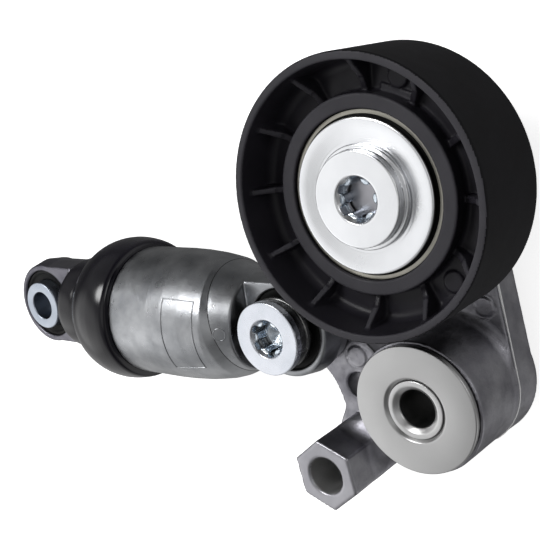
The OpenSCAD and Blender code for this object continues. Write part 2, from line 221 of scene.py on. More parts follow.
def surface_net(name, field, low, high, step, place=WORLD, sharp=None):
    """Closed quad mesh of field = 0, sampled on a grid and then settled onto the surface."""
    low = np.array(low, float) - step
    count = [int(math.ceil((high[i] - low[i]) / step)) + 2 for i in range(3)]
    axes = [low[i] + step * np.arange(count[i]) for i in range(3)]
    grid = np.meshgrid(*axes, indexing="ij")
    d = field(*grid)
    inside = (d < 0).astype(np.int8)
    corners = [(i, j, k) for i in (0, 1) for j in (0, 1) for k in (0, 1)]
    total = sum(
        inside[i : count[0] - 1 + i, j : count[1] - 1 + j, k : count[2] - 1 + k]
        for i, j, k in corners
    )
    active = (total > 0) & (total < 8)
    cells = np.argwhere(active)
    ident = -np.ones(active.shape, np.int64)
    ident[active] = np.arange(len(cells))
    sums, hits = np.zeros((len(cells), 3)), np.zeros(len(cells))
    for axis in range(3):
        unit = np.eye(3, dtype=int)[axis]
        others = [q for q in range(3) if q != axis]
        for u in (0, 1):
            for v in (0, 1):
                a = cells.copy()
                a[:, others[0]] += u
                a[:, others[1]] += v
                b = a + unit
                da, db = d[tuple(a.T)], d[tuple(b.T)]
                cut = (da < 0) != (db < 0)
                t = np.where(cut, da / np.where(cut, da - db, 1), 0)
                sums[cut] += (a + t[:, None] * unit)[cut]
                hits[cut] += 1
    verts = low + step * sums / hits[:, None]
    faces = []
    for axis in range(3):
        u, v = (axis + 1) % 3, (axis + 2) % 3
        size = list(inside.shape)
        first = [slice(None)] * 3
        second = [slice(None)] * 3
        first[axis], second[axis] = slice(0, size[axis] - 1), slice(1, size[axis])
        change = inside[tuple(first)].astype(int) - inside[tuple(second)].astype(int)
        for sign in (1, -1):
            at = np.argwhere(change == sign)
            at = at[(at[:, u] >= 1) & (at[:, v] >= 1)]
            at = at[(at[:, u] < size[u] - 1) & (at[:, v] < size[v] - 1)]
            ring = []
            for du, dv in ((-1, -1), (0, -1), (0, 0), (-1, 0)):
                c = at.copy()
                c[:, u] += du
                c[:, v] += dv
                ring.append(ident[tuple(c.T)])
            quad = np.stack(ring, 1)
            faces.append(quad if sign == 1 else quad[:, ::-1])
    faces = np.concatenate(faces)
    h = 0.04
    for _ in range(4):
        value = field(*verts.T)
        grad = np.stack(
            [field(*(verts + e).T) - field(*(verts - e).T) for e in np.eye(3) * h], 1
        ) / (2 * h)
        length = np.maximum((grad**2).sum(1), 0.2)
        move = -(value / length)[:, None] * grad
        reach = np.linalg.norm(move, axis=1)
        move *= np.minimum(1, 0.4 * step / np.maximum(reach, 1e-9))[:, None]
        verts = verts + move
    return make_object(name, verts, faces, place, sharp)


def sweep(name, path, normals, width, height, place, closed=True, sink=0.15):
    """Low rounded ridge of the given width and height that follows a line on a surface."""
    path, normals = np.asarray(path, float), np.asarray(normals, float)
    n = len(path)
    ahead = np.roll(path, -1, 0) - np.roll(path, 1, 0)
    if not closed:
        ahead[0], ahead[-1] = path[1] - path[0], path[-1] - path[-2]
    ahead /= np.linalg.norm(ahead, axis=1)[:, None]
    side = np.cross(ahead, normals)
    side /= np.linalg.norm(side, axis=1)[:, None]
    shoulder = 0.55 * height
    shape = [(-0.5, -sink), (-0.42, shoulder), (-0.2, height), (0.2, height), (0.42, shoulder), (0.5, -sink)]
    verts = []
    for i in range(n):
        for s, h in shape:
            verts.append(path[i] + side[i] * s * width + normals[i] * h)
    m = len(shape)
    faces = []
    for i in range(n if closed else n - 1):
        j = (i + 1) % n
        for k in range(m):
            q = (k + 1) % m
            faces.append([i * m + k, i * m + q, j * m + q, j * m + k])
    if not closed:
        faces.append([k for k in range(m)][::-1])
        faces.append([(n - 1) * m + k for k in range(m)])
    return make_object(name, verts, faces, place, 50)


# ---------------------------------------------------------------- distance fields


def smooth_or(a, b, r):
    """Union with a round fillet of radius r."""
    u, v = np.maximum(r - a, 0), np.maximum(r - b, 0)
    return np.maximum(r, np.minimum(a, b)) - np.hypot(u, v)


def smooth_and(a, b, r):
    """Intersection with a rounded edge of radius r."""
    u, v = np.maximum(r + a, 0), np.maximum(r + b, 0)
    return np.minimum(-r, np.maximum(a, b)) + np.hypot(u, v)


def cut(a, b, r):
    """a less b, with the new edge rounded to radius r."""
    return smooth_and(a, -b, r)


def slab(z, z0, z1):
    return np.abs(z - (z0 + z1) / 2) - (z1 - z0) / 2


def disc(x, y, cx, cy, r):
    return np.hypot(x - cx, y - cy) - r


def tapered(x, y, p, pr, q, qr):
    """Straight member between two round ends."""
    px, py = x - p[0], y - p[1]
    length = math.hypot(q[0] - p[0], q[1] - p[1])
    ux, uy = (q[0] - p[0]) / length, (q[1] - p[1]) / length
    along = px * ux + py * uy
    off = np.abs(px * uy - py * ux)
    b = (pr - qr) / length
    a = math.sqrt(1 - b * b)
    k = -b * off + a * along
    return np.where(
        k < 0,
        np.hypot(off, along) - pr,
        np.where(k > a * length, np.hypot(off, along - length) - qr, off * a + along * b - pr),
    )


def hexagon(x, y, cx, cy, af, turn):
    """Distance to a hexagon whose corners point along turn + 60 k degrees."""
    x, y = x - cx, y - cy
    d = np.full_like(x, -1e9)
    for k in range(3):
        a = math.radians(turn + 30 + 60 * k)
        d = np.maximum(d, np.abs(x * math.cos(a) + y * math.sin(a)) - af / 2)
    return d


def step_up(t):
    t = np.clip(t, 0, 1)
    return t * t * (3 - 2 * t)


# ---------------------------------------------------------------- materials


def material(
    name,
    dark,
    light,
    rough,
    metallic=0.0,
    blotch=120.0,
    fine=1500.0,
    bump=0.0,
    rough_vary=0.08,
    turned=None,
    turned_pitch=0.35,
    turned_bump=0.0,
    specular=0.5,
    scuffs=0.0,
):
    """Procedural finish: soft blotches in the colour, uneven gloss, a fine grain,
    and for machined faces fine turning rings about the point (x, y) in millimetres."""
    mat = bpy.data.materials.new(name)
    mat.use_nodes = True
    nt = mat.node_tree
    nodes, links = nt.nodes, nt.links
    nodes.clear()
    out = nodes.new("ShaderNodeOutputMaterial")
    bsdf = nodes.new("ShaderNodeBsdfPrincipled")
    links.new(bsdf.outputs["BSDF"], out.inputs["Surface"])
    bsdf.inputs["Metallic"].default_value = metallic
    bsdf.inputs["Specular IOR Level"].default_value = specular
    coords = nodes.new("ShaderNodeTexCoord")

    def noise(scale, detail=4.0, roughness=0.55):
        n = nodes.new("ShaderNodeTexNoise")
        n.inputs["Scale"].default_value = scale
        n.inputs["Detail"].default_value = detail
        n.inputs["Roughness"].default_value = roughness
        links.new(coords.outputs["Object"], n.inputs["Vector"])
        return n

    big = noise(blotch)
    ramp = nodes.new("ShaderNodeValToRGB")
    ramp.color_ramp.elements[0].position = 0.35
    ramp.color_ramp.elements[1].position = 0.68
    ramp.color_ramp.elements[0].color = (*dark, 1)
    ramp.color_ramp.elements[1].color = (*light, 1)
    links.new(big.outputs["Fac"], ramp.inputs["Fac"])
    colour = ramp.outputs["Color"]
    if scuffs:
        spots = noise(blotch * 6, 6, 0.7)
        level = nodes.new("ShaderNodeMapRange")
        level.inputs["From Min"].default_value = 0.6
        level.inputs["From Max"].default_value = 0.72
        level.inputs["To Max"].default_value = scuffs
        links.new(spots.outputs["Fac"], level.inputs["Value"])
        mix = nodes.new("ShaderNodeMix")
        mix.data_type = "RGBA"
        mix.inputs["B"].default_value = (*[0.35 * c for c in dark], 1)
        links.new(level.outputs["Result"], mix.inputs["Factor"])
        links.new(colour, mix.inputs["A"])
        colour = mix.outputs["Result"]
    links.new(colour, bsdf.inputs["Base Color"])
    mid = noise(blotch * 3, 3)
    gloss = nodes.new("ShaderNodeMapRange")
    gloss.inputs["From Min"].default_value = 0.3
    gloss.inputs["From Max"].default_value = 0.7
    gloss.inputs["To Min"].default_value = max(0.03, rough - rough_vary)
    gloss.inputs["To Max"].default_value = min(1.0, rough + rough_vary)
    links.new(mid.outputs["Fac"], gloss.inputs["Value"])
    links.new(gloss.outputs["Result"], bsdf.inputs["Roughness"])
    normal = None
    if turned is not None and turned_bump:
        shift = nodes.new("ShaderNodeVectorMath")
        shift.operation = "SUBTRACT"
        shift.inputs[1].default_value = (turned[0] * MM, turned[1] * MM, 0)
        links.new(coords.outputs["Object"], shift.inputs[0])
        flat = nodes.new("ShaderNodeVectorMath")
        flat.operation = "MULTIPLY"
        flat.inputs[1].default_value = (1, 1, 0)
        links.new(shift.outputs[0], flat.inputs[0])
        dist = nodes.new("ShaderNodeVectorMath")
        dist.operation = "LENGTH"
        links.new(flat.outputs[0], dist.inputs[0])
        phase = nodes.new("ShaderNodeMath")
        phase.operation = "MULTIPLY"
        phase.inputs[1].default_value = 2 * math.pi / (turned_pitch * MM)
        links.new(dist.outputs["Value"], phase.inputs[0])
        wave = nodes.new("ShaderNodeMath")
        wave.operation = "SINE"
        links.new(phase.outputs[0], wave.inputs[0])
        rings = nodes.new("ShaderNodeBump")
        rings.inputs["Strength"].default_value = turned_bump
        rings.inputs["Distance"].default_value = 0.00002
        links.new(wave.outputs[0], rings.inputs["Height"])
        normal = rings.outputs["Normal"]
    if bump:
        grain = noise(fine, 6, 0.6)
        b = nodes.new("ShaderNodeBump")
        b.inputs["Strength"].default_value = bump
        b.inputs["Distance"].default_value = 0.0002
        links.new(grain.outputs["Fac"], b.inputs["Height"])
        if normal is not None:
            links.new(normal, b.inputs["Normal"])
        normal = b.outputs["Normal"]
    if normal is not None:
        links.new(normal, bsdf.inputs["Normal"])
    return mat


def grey(v, tint=(0, 0, 0)):
    return tuple(max(0.0, v + t) for t in tint)


PIVOT_XY, PULLEY_XY, BOLT_XY, EYE_XY = (0, 0), PULLEY[:2], BOLT[:2], EYE[:2]
CAST = (-0.001, -0.004, 0.020)
CAST_STRUT = (-0.008, 0.0, 0.014)
FINISHES = {
    "cast_arm": dict(
        dark=grey(0.22, CAST), light=grey(0.37, CAST), rough=0.40, metallic=1.0, blotch=110,
        fine=1800, bump=0.3, rough_vary=0.10, scuffs=0.45,
    ),
    "cast_strut": dict(
        dark=grey(0.25, CAST_STRUT), light=grey(0.42, CAST_STRUT), rough=0.33, metallic=1.0,
        blotch=85, fine=1800, bump=0.2, rough_vary=0.08, scuffs=0.07,
    ),
    "cast_eye": dict(
        dark=grey(0.12, CAST), light=grey(0.20, CAST), rough=0.40, metallic=1.0, blotch=90,
        fine=1800, bump=0.2, rough_vary=0.08, scuffs=0.3,
    ),
    "hole_steel": dict(
        dark=grey(0.46), light=grey(0.52), rough=0.6, metallic=1.0, blotch=90, fine=2600,
        bump=0.1, rough_vary=0.05,
    ),
    # Light finish of the parting ridge: painted highlight along the edge.
    "parting_painted_highlight": dict(
        dark=grey(0.80), light=grey(0.86), rough=0.45, metallic=1.0, blotch=90, fine=2600,
        bump=0.1, rough_vary=0.05,
    ),
    "cast_cut": dict(
        dark=grey(0.32, CAST), light=grey(0.38, CAST), rough=0.36, metallic=1.0, blotch=90,
        fine=2600, bump=0.1, rough_vary=0.05,
    ),
    "disc_steel": dict(
        dark=grey(0.41), light=grey(0.44), rough=0.30, metallic=1.0, blotch=60, fine=3000,
        bump=0.004, rough_vary=0.01, turned=PIVOT_XY, turned_pitch=0.4, turned_bump=0.06,
    ),
    "sleeve_steel": dict(
        dark=grey(0.50), light=grey(0.57), rough=0.33, metallic=1.0, blotch=90, fine=3000,
        bump=0.05, rough_vary=0.05, turned=PIVOT_XY, turned_pitch=0.3, turned_bump=0.3,
    ),
    "zinc_pulley": dict(
        dark=(0.70, 0.71, 0.73), light=(0.77, 0.78, 0.80), rough=0.26, metallic=1.0, blotch=60,
        fine=2500, bump=0.005, rough_vary=0.015, turned=PULLEY_XY, turned_pitch=0.35,
        turned_bump=0.1,
    ),
    "zinc_bolt": dict(
        dark=(0.54, 0.57, 0.62), light=(0.62, 0.64, 0.69), rough=0.26, metallic=1.0, blotch=80,
        fine=2500, bump=0.04, rough_vary=0.05, turned=BOLT_XY, turned_pitch=0.35,
        turned_bump=0.15,
    ),
    "zinc_eye": dict(
        dark=(0.34, 0.38, 0.44), light=(0.44, 0.48, 0.54), rough=0.3, metallic=1.0, blotch=90,
        fine=2500, bump=0.06, rough_vary=0.05, turned=EYE_XY, turned_pitch=0.35,
        turned_bump=0.25,
    ),
    "socket_steel": dict(
        dark=(0.34, 0.39, 0.45), light=(0.76, 0.82, 0.88), rough=0.14, metallic=1.0, blotch=260,
        fine=2500, bump=0.3, rough_vary=0.05,
    ),
    "spacer_steel": dict(
        dark=grey(0.06), light=grey(0.30), rough=0.22, metallic=1.0, blotch=220, fine=2500,
        bump=0.2, rough_vary=0.08,
    ),
    "bearing_steel": dict(
        dark=(0.26, 0.25, 0.22), light=(0.33, 0.32, 0.28), rough=0.32, metallic=1.0, blotch=80,
        fine=3000, bump=0.04, rough_vary=0.05, turned=PULLEY_XY, turned_pitch=0.3,
        turned_bump=0.3,
    ),
    # Near-black finish of the crease strip: painted shadow in the step.
    "crease_painted_shade": dict(
        dark=grey(0.012), light=grey(0.02), rough=0.7, metallic=0.0, blotch=90, fine=1500,
        bump=0.1, rough_vary=0.06, specular=0.1,
    ),
    # Dark steel of the spring and inner parts; on the sleeve bore and the dust cap's edge it is painted
    # shade.
    "dark_steel": dict(
        dark=grey(0.16), light=grey(0.24), rough=0.4, metallic=1.0, blotch=100, fine=2000,
        bump=0.1,
    ),
    "pulley_plastic": dict(
        dark=(0.016, 0.015, 0.019), light=(0.022, 0.0205, 0.026), rough=0.36, metallic=0.0,
        blotch=70, fine=2600, bump=0.10, rough_vary=0.06, specular=0.16,
    ),
    "pulley_belt": dict(
        dark=(0.004, 0.0038, 0.0045), light=(0.005, 0.0048, 0.006), rough=0.62, metallic=0.0,
        blotch=70, fine=2600, bump=0.05, rough_vary=0.02, specular=0.12,
    ),
    # Lighter, rougher finish of the rim and hub fronts; on the rib crests and a pad it is partly wear and
    # partly painted highlight.
    "pulley_front": dict(
        dark=(0.030, 0.0285, 0.035), light=(0.036, 0.0345, 0.042), rough=0.6, metallic=0.0,
        blotch=70, fine=2600, bump=0.15, rough_vary=0.06, specular=0.35,
    ),
    "boot_rubber": dict(
        dark=(0.003, 0.0026, 0.005), light=(0.005, 0.0043, 0.008), rough=0.13, metallic=0.0,
        blotch=60, fine=1500, bump=0.02, rough_vary=0.02, specular=0.42,
    ),
    "bush_rubber": dict(
        dark=grey(0.004), light=grey(0.007), rough=0.6, metallic=0.0, blotch=90, fine=1500,
        bump=0.2, rough_vary=0.06, specular=0.2,
    ),
    "seal_rubber": dict(
        dark=grey(0.003), light=grey(0.005), rough=0.6, metallic=0.0, blotch=90, fine=1500,
        bump=0.1, rough_vary=0.06, specular=0.1,
    ),
    "cage_plastic": dict(
        dark=(0.35, 0.24, 0.12), light=(0.45, 0.32, 0.17), rough=0.5, metallic=0.0, blotch=90,
        fine=1500, bump=0.1, rough_vary=0.06,
    ),
    "friction_plastic": dict(
        dark=grey(0.006), light=grey(0.012), rough=0.5, metallic=0.0, blotch=90, fine=1500,
        bump=0.1, rough_vary=0.06,
    ),
    "bush_bronze": dict(
        dark=(0.20, 0.14, 0.08), light=(0.28, 0.20, 0.12), rough=0.4, metallic=1.0, blotch=90,
        fine=1500, bump=0.1, rough_vary=0.06,
    ),
}
MATS = {name: material(name, **look) for name, look in FINISHES.items()}


def face_centres(obj):
    """Middle of each quad of a surface net, in millimetres."""
    mesh = obj.data
    co = np.zeros(len(mesh.vertices) * 3, np.float32)
    mesh.vertices.foreach_get("co", co)
    loops = np.zeros(len(mesh.loops), np.int32)
    mesh.loops.foreach_get("vertex_index", loops)
    return (co.reshape(-1, 3) / MM)[loops.reshape(-1, 4)].mean(1)


def other_finish(obj, mat, chosen):
    """Gives the chosen faces another finish."""
    mesh = obj.data
    index = np.zeros(len(mesh.polygons), np.int32)
    mesh.polygons.foreach_get("material_index", index)
    index[chosen] = len(mesh.materials)
    mesh.materials.append(MATS[mat])
    mesh.polygons.foreach_set("material_index", index)
    mesh.update()


def finish_piece(obj, body, mat, slot, *replaced):
    """Gives a piece its finish, its body and the CAD nodes it stands for; slot is not used."""
    obj.data.materials.clear()
    obj.data.materials.append(MATS[mat])
    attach(obj, body)
    if replaced:
        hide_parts(*replaced)
    return obj


# ---------------------------------------------------------------- pivot group


def pivot_pieces():
    sleeve = lathe(
        "pivot_sleeve_turned",
        rounded(
            [(5.25, 0), (8.1, 0), (8.1, 32.6), (6.7, 32.6), (5.25, 31.5)],
            [0.2, 0.3, 0.25, 0.35, 0.5],
            5,
        ),
        PIVOT_FRAME,
    )
    finish_piece(sleeve, "mount", "sleeve_steel", "zinc_steel", "pivot_sleeve")
    at = face_centres(sleeve)
    # Inside of the sleeve bore darkened: painted shade in the hole.
    other_finish(sleeve, "dark_steel", (np.hypot(at[:, 0], at[:, 1]) < 5.35) & (at[:, 2] < 31.2))
    plate = lathe(
        "thrust_disc_turned",
        rounded(
            [(8.15, 31.5), (17.8, 31.5), (17.8, 33), (9.1, 33), (8.15, 32.1)],
            [0.1, 0.15, 0.45, 0.3, 0.3],
            5,
        ),
        PIVOT_FRAME,
    )
    finish_piece(plate, "mount", "disc_steel", "machined_steel", "thrust_disc")
    washer = lathe(
        "rear_washer_turned",
        rounded([(8.15, 0.0), (12.6, 0.0), (12.6, 1.5), (8.15, 1.5)], 0.25, 4),
        PIVOT_FRAME,
    )
    finish_piece(washer, "mount", "disc_steel", "machined_steel", "rear_washer")
    ring = lathe(
        "friction_ring_moulded",
        rounded([(12, 30.92), (17, 30.92), (17, 31.45), (12, 31.45)], 0.12, 3),
        PIVOT_FRAME,
    )
    finish_piece(ring, "arm", "friction_plastic", "friction_plastic", "friction_ring")


# ---------------------------------------------------------------- arm casting

HEX = (-33.0, -24.1)
LOCK = (-32.6, -4.6)
PARTING = 11.0


def arm_outline(x, y, z):
    """The plate's outline, a little wider at the back than at the front."""
    grow = 0.15 + 0.5 * np.clip((PARTING - z) / 10.4, 0, 1)
    spine = tapered(x, y, (0, 0), 18.7, (0, PULLEY[1]), 12.2) - grow
    left = tapered(x, y, BOLT_XY, 9, (-18.7, -14.8), 9) - grow
    top = tapered(x, y, BOLT_XY, 9, (0, PULLEY[1]), 10) - grow
    foot = tapered(x, y, HEX, 9, (0, 0), 8.6) - grow
    wall = tapered(x, y, (-32.0, -20), 7.0, (-31.1, -6), 6.0) - grow
    d = smooth_or(spine, left, 7)
    d = smooth_or(d, top, 7)
    d = smooth_or(d, foot, 5)
    return smooth_or(d, wall, 7)


def arm_pocket(x, y, z):
    """Shallow pockets in the back of the plate, with ribs between them."""
    d = arm_outline(x, y, z) + 3.6
    for cx, cy, r in (
        (0, 0, 18.6),
        (BOLT[0], BOLT[1], 10),
        (PULLEY[0], PULLEY[1], 12),
        (HEX[0], HEX[1], 11.8),
        (LOCK[0], LOCK[1], 6.6),
    ):
        d = smooth_and(d, -disc(x, y, cx, cy, r), 1.5)
    upright_rib = np.maximum(np.abs(x) - 1.5, -y)
    a = math.radians(160.4)
    rib_across = -x * math.sin(a) + y * math.cos(a)
    rib_along = x * math.cos(a) + y * math.sin(a)
    lean_rib = np.maximum(np.abs(rib_across) - 1.5, -rib_along)
    d = smooth_and(d, -upright_rib, 1.2)
    return smooth_and(d, -lean_rib, 1.2)


def boss_radius(z):
    """The pivot boss widens to the back, more so behind the parting line."""
    return 18.4 + 0.036 * (30.9 - np.maximum(z, PARTING)) + 0.06 * np.maximum(PARTING - z, 0)


def arm_field(x, y, z):
    rho = np.hypot(x, y)
    boss = rho - boss_radius(z)
    outline = arm_outline(x, y, z)
    rib = tapered(x, y, HEX, 9.0, (0, 0), 8.6)
    side = np.minimum(np.minimum(outline, boss), rib)
    d = smooth_or(boss, z - PARTING, 3.0)
    d = smooth_and(d, side, 0.35)
    hexa = hexagon(x, y, HEX[0], HEX[1], 19, -22.4)
    nut = smooth_and(hexa, z - 33.0, 0.3)
    bridge = smooth_and(rib, z - 18.5, 4.5)
    blend = 7.5 * np.clip((33.0 - z) / 14, 0.02, 1)
    saddle = smooth_or(smooth_or(nut, bridge, blend), boss, blend)
    within = np.minimum(np.minimum(hexa, boss), rib - 0.2)
    d = np.minimum(d, smooth_and(saddle, within, 0.3))
    d = np.maximum(d, z - np.where(rho < 25, 30.9, 33.0))
    seat = smooth_and(disc(x, y, PULLEY[0], PULLEY[1], 12), slab(z, 0.6, 27.8), 0.3)
    d = smooth_or(d, seat, 2.5)
    stub = smooth_and(disc(x, y, PULLEY[0], PULLEY[1], 7.45), slab(z, 10, 40.2), 0.3)
    d = np.minimum(d, stub)
    d = smooth_and(d, 0.6 - z, 0.7)
    d = cut(d, np.maximum(arm_pocket(x, y, z), z - 6.0), 0.8)
    d = cut(d, np.maximum(rho - 9.4, slab(z, -2, 40)), 0.25)
    d = cut(d, np.maximum(rho - 12.9, z - 1.6), 0.2)
    d = cut(d, np.maximum(disc(x, y, HEX[0], HEX[1], 5.7), 9.0 - z), 0.35)
    d = cut(d, disc(x, y, LOCK[0], LOCK[1], 4.0), 0.5)
    # two ejector pads on the front of the plate
    for cx, cy, r in ((-31.8, 4.6, 3.3), (11.7, 21.9, 2.7)):
        q = disc(x, y, cx, cy, r)
        pad = smooth_and(q, slab(z, 9, PARTING + 0.1), 0.12)
        moat = np.maximum(np.abs(q - 0.3) - 0.3, PARTING - 0.3 - z)
        d = np.minimum(cut(d, moat, 0.1), pad)
    return d


def parting_line():
    """Thin ridge where the two halves of the mould met, along the right side, with a light finish that is a
    painted highlight.
    """
    lean = math.degrees(math.asin((18.85 - 12.35) / PULLEY[1]))
    line = []
    for k in range(7):
        a = math.radians(40 - (40 - lean) * k / 6)
        line.append((12.35 * math.cos(a), PULLEY[1] + 12.35 * math.sin(a)))
    for k in range(40):
        a = math.radians(lean - 62 * k / 39)
        line.append((19.0 * math.cos(a), 19.0 * math.sin(a)))
    path = np.array([(x, y, PARTING - 0.25) for x, y in line])
    ahead = np.gradient(path, axis=0)
    out = np.stack([-ahead[:, 1], ahead[:, 0], 0 * ahead[:, 0]], 1)
    out *= np.sign(out[:, :1])
    out /= np.linalg.norm(out, axis=1)[:, None]
    for _ in range(4):
        x, y, z = path.T
        gap = np.minimum(arm_outline(x, y, z), np.hypot(x, y) - boss_radius(z))
        path = path - out * gap[:, None]
    normals = (out + np.array([0, 0, 0.5])) / math.hypot(1, 0.5)
    ridge = sweep("arm_parting_line", path, normals, 0.5, 0.22, WORLD, closed=False)
    finish_piece(ridge, "arm", "parting_painted_highlight", "cast_arm")


def arm_pieces():
    casting = surface_net("arm_casting", arm_field, (-57, -37, 0), (22, 72, 41), 0.55)
    finish_piece(casting, "arm", "cast_arm", "cast_arm", "tensioner_arm")
    # The hexagon's machined face stands out from the cast skin by its finish
    at = face_centres(casting)
    hole = np.hypot(at[:, 0] - HEX[0], at[:, 1] - HEX[1]) < 6.1
    other_finish(casting, "cast_cut", at[:, 2] > 32.7)
    other_finish(casting, "hole_steel", hole & (at[:, 2] > 8) & (at[:, 2] < 32.5))
    parting_line()


# ---------------------------------------------------------------- pulley

RIB_ANGLES = [25 + 30 * k for k in range(12)]


def rib_crest(rho):
    """Height of the ribs' sloping top edge above the middle of the web."""
    return np.interp(rho, [24.0, 24.7, 28.0, 32.6, 34.0], [2.8, 3.0, 4.5, 9.6, 10.6])


def pulley_field(x, y, z):
    rho = np.hypot(x, y)
    az = np.abs(z)
    rim = smooth_and(rho - 35.0, 32.9 - 0.03 * (13 - az) - rho, 0.3)
    rim = smooth_and(rim, az - 13.0, 0.5)
    web = np.maximum(slab(rho, 23.5, 34.0), az - 1.4)
    d = smooth_or(rim, web, 2.4)
    hub = smooth_and(slab(rho, 21.0, 24.65), slab(z, -7.8, 6.5), 0.25)
    d = smooth_or(d, hub, 1.0)
    theta = np.degrees(np.arctan2(y, x)) - 25.0
    fold = np.radians(np.mod(theta + 15.0, 30.0) - 15.0)
    off = np.abs(rho * np.sin(fold))
    rib_side = off - 0.62 - 0.03 * (10 - az)
    rib_top = (az - rib_crest(rho)) * 0.8
    rib = np.maximum(np.maximum(rib_side, rib_top), slab(rho, 23.8, 34.0))
    d = smooth_or(d, rib, 0.6)
    # ejector bosses and two plain pads on the web, front side
    for a in (68, -50):
        cx, cy = 28.9 * math.cos(math.radians(a)), 28.9 * math.sin(math.radians(a))
        boss = smooth_and(disc(x, y, cx, cy, 2.7), slab(z, 0, 2.2), 0.25)
        d = smooth_or(d, boss, 0.3)
    for a in (67, -101):
        c, s = math.cos(math.radians(a)), math.sin(math.radians(a))
        u, v = x * c + y * s, -x * s + y * c
        pad = np.maximum(np.abs(u - 25.4) - 1.0, np.abs(v) - 4.6)
        d = smooth_or(d, smooth_and(pad, slab(z, 0, 1.9), 0.25), 0.25)
    return np.maximum(d, rho - 35.0)


def pulley_pieces():
    place = upright(PULLEY[0], PULLEY[1], PULLEY[2])
    low, high = (-35.6, -35.6, -13.6), (35.6, 35.6, 13.6)
    wheel = surface_net("pulley_moulding", pulley_field, low, high, 0.42, place)
    finish_piece(wheel, "pulley", "pulley_plastic", "pulley_plastic", "pulley")
    at = face_centres(wheel) - PULLEY
    reach = np.hypot(at[:, 0], at[:, 1])
    lighter_fronts_and_highlight = (np.abs(at[:, 2]) > 12.55) | ((at[:, 2] > 6.1) & (reach < 24.9))
    # Rib crests: partly wear, partly painted highlight where the edges catch light.
    crest = rib_crest(reach)
    lighter_fronts_and_highlight |= (np.abs(np.abs(at[:, 2]) - crest) < 0.35) & (reach > 28.4) & (reach < 32.4)
    # Top of the pad at 67 degrees: painted highlight.
    turn = np.degrees(np.arctan2(at[:, 1], at[:, 0]))
    lighter_fronts_and_highlight |= (np.abs(turn - 67) < 9.5) & (reach > 24.6) & (reach < 26.2) & (at[:, 2] > 1.6)
    other_finish(wheel, "pulley_front", lighter_fronts_and_highlight)
    other_finish(wheel, "pulley_belt", reach > 34.7)
    outer = lathe(
        "bearing_outer_ring_ground",
        rounded(
            [
                (17.3, 29.0),
                (19.75, 29.0),
                (19.75, 27.8),
                (20.95, 27.8),
                (20.95, 40.5),
                (19.75, 40.5),
                (19.75, 39.6),
                (17.3, 39.6),
                (18.0, 34.3),
            ],
            [0.1, 0.1, 0.1, 0.3, 0.3, 0.1, 0.1, 0.1, 0.1],
        ),
        PULLEY_FRAME,
    )
    finish_piece(outer, "pulley", "bearing_steel", "bearing_steel", "bearing_outer_ring")
    front = rounded(
        [
            (11.95, 39.75), (19.65, 39.75), (19.65, 40.2), (16, 40.45),
            (13.5, 40.5), (12.6, 40.2), (11.95, 40.2),
        ],
        0.2,
    )
    seals = lathe("bearing_seals_moulded", front, PULLEY_FRAME)
    back = front.copy()
    back[:, 1] = 68.6 - back[:, 1]
    rear = lathe("bearing_seal_rear", back, PULLEY_FRAME)
    finish_piece(seals, "pulley", "seal_rubber", "seal_rubber", "bearing_seals")
    finish_piece(rear, "pulley", "seal_rubber", "seal_rubber")
    cap_line = smooth_line(
        [
            (5.1, 40.8), (9, 40.8), (12.8, 40.82), (14.2, 40.95), (15.6, 41.15),
            (17.2, 41.35), (18.4, 41.42), (19.0, 41.48), (19.2, 41.62),
        ],
        5,
    )
    cap_top = smooth_line(
        [
            (19.12, 41.98), (18.8, 42.12), (18.3, 42.15), (17.2, 42.08), (15.6, 41.88),
            (14.2, 41.7), (13.2, 41.62), (9, 41.6), (5.1, 41.6),
        ],
        5,
    )
    cap = lathe("dust_cap_pressed", cap_line + cap_top, PULLEY_FRAME, sharp=40)
    finish_piece(cap, "arm", "zinc_pulley", "zinc_steel", "dust_cap")
    at = face_centres(cap) - PULLEY
    # The cap's outer edge gets a dark finish: painted shade for the gap between cap and bearing ring.
    edge = (np.hypot(at[:, 0], at[:, 1]) > 18.95) & (at[:, 2] + PULLEY[2] < 42.0)
    other_finish(cap, "dark_steel", edge)


# ---------------------------------------------------------------- bolts


def socket_field(x, y, z):
    """Six-lobe socket sunk from z = 0, with a cone at its bottom."""
    star = np.hypot(x, y) - 5.6
    for k in range(6):
        a = math.radians(60 * k)
        star = np.maximum(star, -(disc(x, y, 5.72 * math.cos(a), 5.72 * math.sin(a), 1.7)))
    mouth = (np.hypot(x, y) - (6.0 + 0.9 * z)) * 0.74
    wall = np.maximum(star, -5.2 - z)
    cone = (np.hypot(x, y) - 3.6 - (z + 5.2) * 2.2) * 0.41
    return np.minimum(np.minimum(wall, np.maximum(mouth, -1.1 - z)), np.maximum(cone, z + 5.0))


def bolt_head(name, place, top, discs, shank_r, shank_z):
    """Flat-headed bolt: stacked discs of (radius, low, high, edge) and a shank."""

    def field(x, y, z):
        rho = np.hypot(x, y)
        d = np.full_like(x, 1e9)
        for r, z0, z1, e in discs:
            d = np.minimum(d, smooth_and(rho - r, slab(z, z0 - top, z1 - top), e))
        d = np.minimum(d, smooth_and(rho - shank_r, slab(z, shank_z - top, discs[0][1] - top + 0.5), 0.4))
        return cut(d, socket_field(x, y, z), 0.12)

    r = max(q[0] for q in discs) + 0.5
    return surface_net(name, field, (-r, -r, shank_z - top - 0.5), (r, r, 0.5), 0.3, place)


def socket_finish(bolt, centre, top):
    at = face_centres(bolt)
    reach = np.hypot(at[:, 0] - centre[0], at[:, 1] - centre[1])
    other_finish(bolt, "socket_steel", (reach < 5.9) & (at[:, 2] < top - 0.9) & (at[:, 2] > top - 8))


